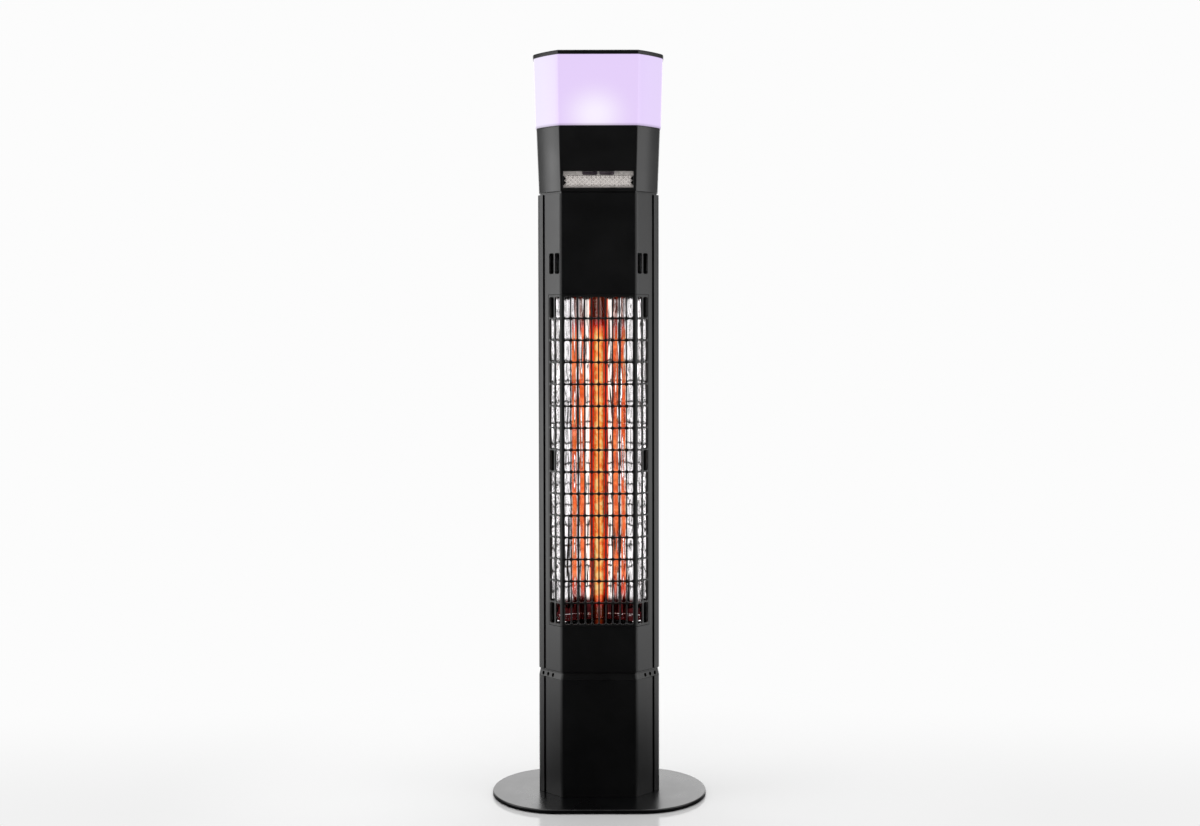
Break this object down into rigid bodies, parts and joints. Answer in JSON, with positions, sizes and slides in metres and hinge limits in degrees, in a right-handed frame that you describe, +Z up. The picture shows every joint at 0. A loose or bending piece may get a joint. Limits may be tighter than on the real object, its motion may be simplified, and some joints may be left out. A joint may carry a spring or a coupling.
{
  "type": "infrared patio heater tower",
  "caption": "Free-standing infrared heater tower on an oval base: folded guard grille over a quartz tube, speaker and buttons in a flared head, lit lamp section on top.",
  "frame": {"origin": "on the floor, under the middle of the base plate", "axes": "+Z up along the tower, the heating window faces -Y, +X to the right seen from the front"},
  "size_m": [0.29, 0.182, 1],
  "materials": {
    "base_gloss": "gloss black powder coat on sheet steel",
    "pad_rubber": "soft black rubber",
    "steel_zinc": "zinc plated steel",
    "cover_black": "satin black powder coat on aluminium",
    "guard_black": "satin black heat-resistant coat on steel",
    "black_plastic": "fine-textured black moulding",
    "circuit_board": "green solder mask",
    "part_grey": "grey moulded component",
    "terminal_ivory": "ivory nylon",
    "rocker_black": "gloss black",
    "mirror_aluminium": "polished folded sheet",
    "quartz": "clear fused quartz",
    "hot_coil": "glowing resistance wire",
    "ceramic": "unglazed steatite",
    "lens_dark": "smoked acrylic",
    "speaker_silver": "bright expanded metal",
    "cone_paper": "pressed paper cone",
    "button_grey": "soft-touch moulding",
    "lamp_lilac": "opal lilac diffuser, lit from inside",
    "led_chip": "lit light source"
  },
  "bodies": {
    "tower": {"base_plate": "base_gloss", "base_pads": "pad_rubber", "base_bolts": "steel_zinc", "column_foot": "black_plastic", "lower_front_cover": "cover_black", "lower_rear_cover": "cover_black", "control_board": "circuit_board", "board_parts": "part_grey", "terminal_block": "terminal_ivory", "tip_switch_bracket": "steel_zinc", "power_switch_body": "rocker_black", "cable_gland": "black_plastic", "vented_collar": "black_plastic", "upper_front_cover": "cover_black", "guard_grille": "guard_black", "upper_rear_cover": "cover_black", "rear_cover_screws": "steel_zinc", "inner_frame": "steel_zinc", "reflector": "mirror_aluminium", "reflector_bottom_plate": "mirror_aluminium", "reflector_top_plate": "mirror_aluminium", "reflector_brackets": "guard_black", "quartz_tube": "quartz", "heating_coil": "hot_coil", "tube_end_caps": "ceramic", "tube_holders": "steel_zinc", "thermal_cutout": "steel_zinc", "head_floor": "black_plastic", "speaker_housing": "black_plastic", "speaker_mesh": "speaker_silver", "sensor_lenses": "lens_dark", "speaker_baffle": "black_plastic", "driver_frames": "steel_zinc", "amplifier_board": "circuit_board", "button_panel": "black_plastic", "button_board": "circuit_board", "lamp_tray": "black_plastic", "led_board": "circuit_board", "led_chips": "led_chip", "lamp_diffuser": "lamp_lilac", "top_cap": "black_plastic"},
    "power_rocker": {"power_rocker": "rocker_black"},
    "tip_pendulum": {"tip_switch_pendulum": "steel_zinc"},
    "left_cone": {"left_speaker_cone": "cone_paper"},
    "right_cone": {"right_speaker_cone": "cone_paper"},
    "button_1": {"push_button_1": "button_grey"},
    "button_2": {"push_button_2": "button_grey"},
    "button_3": {"push_button_3": "button_grey"},
    "button_4": {"push_button_4": "button_grey"}
  },
  "joints": [
    {"name": "power_rocker_tilt", "type": "hinge", "parent": "tower", "child": "power_rocker", "pos_m": [0, 0.0369, 0.074], "axis": [1, 0, 0], "range_deg": [-20, 0]},
    {"name": "button_1_press", "type": "slide", "parent": "tower", "child": "button_1", "axis": [0, -1, 0], "range_m": [0, 0.001], "stiffness_N_per_m": 300},
    {"name": "button_2_press", "type": "slide", "parent": "tower", "child": "button_2", "axis": [0, -1, 0], "range_m": [0, 0.001], "stiffness_N_per_m": 300},
    {"name": "button_3_press", "type": "slide", "parent": "tower", "child": "button_3", "axis": [0, -1, 0], "range_m": [0, 0.001], "stiffness_N_per_m": 300},
    {"name": "button_4_press", "type": "slide", "parent": "tower", "child": "button_4", "axis": [0, -1, 0], "range_m": [0, 0.001], "stiffness_N_per_m": 300},
    {"name": "tip_pendulum_swing", "type": "hinge", "parent": "tower", "child": "tip_pendulum", "pos_m": [-0.038, 0, 0.056], "axis": [1, 0, 0], "range_deg": [-25, 25]},
    {"name": "left_cone_stroke", "type": "slide", "parent": "tower", "child": "left_cone", "axis": [0, 1, 0], "range_m": [-0.0008, 0.0008], "stiffness_N_per_m": 1500},
    {"name": "right_cone_stroke", "type": "slide", "parent": "tower", "child": "right_cone", "axis": [0, 1, 0], "range_m": [-0.0008, 0.0008], "stiffness_N_per_m": 1500}
  ]
}
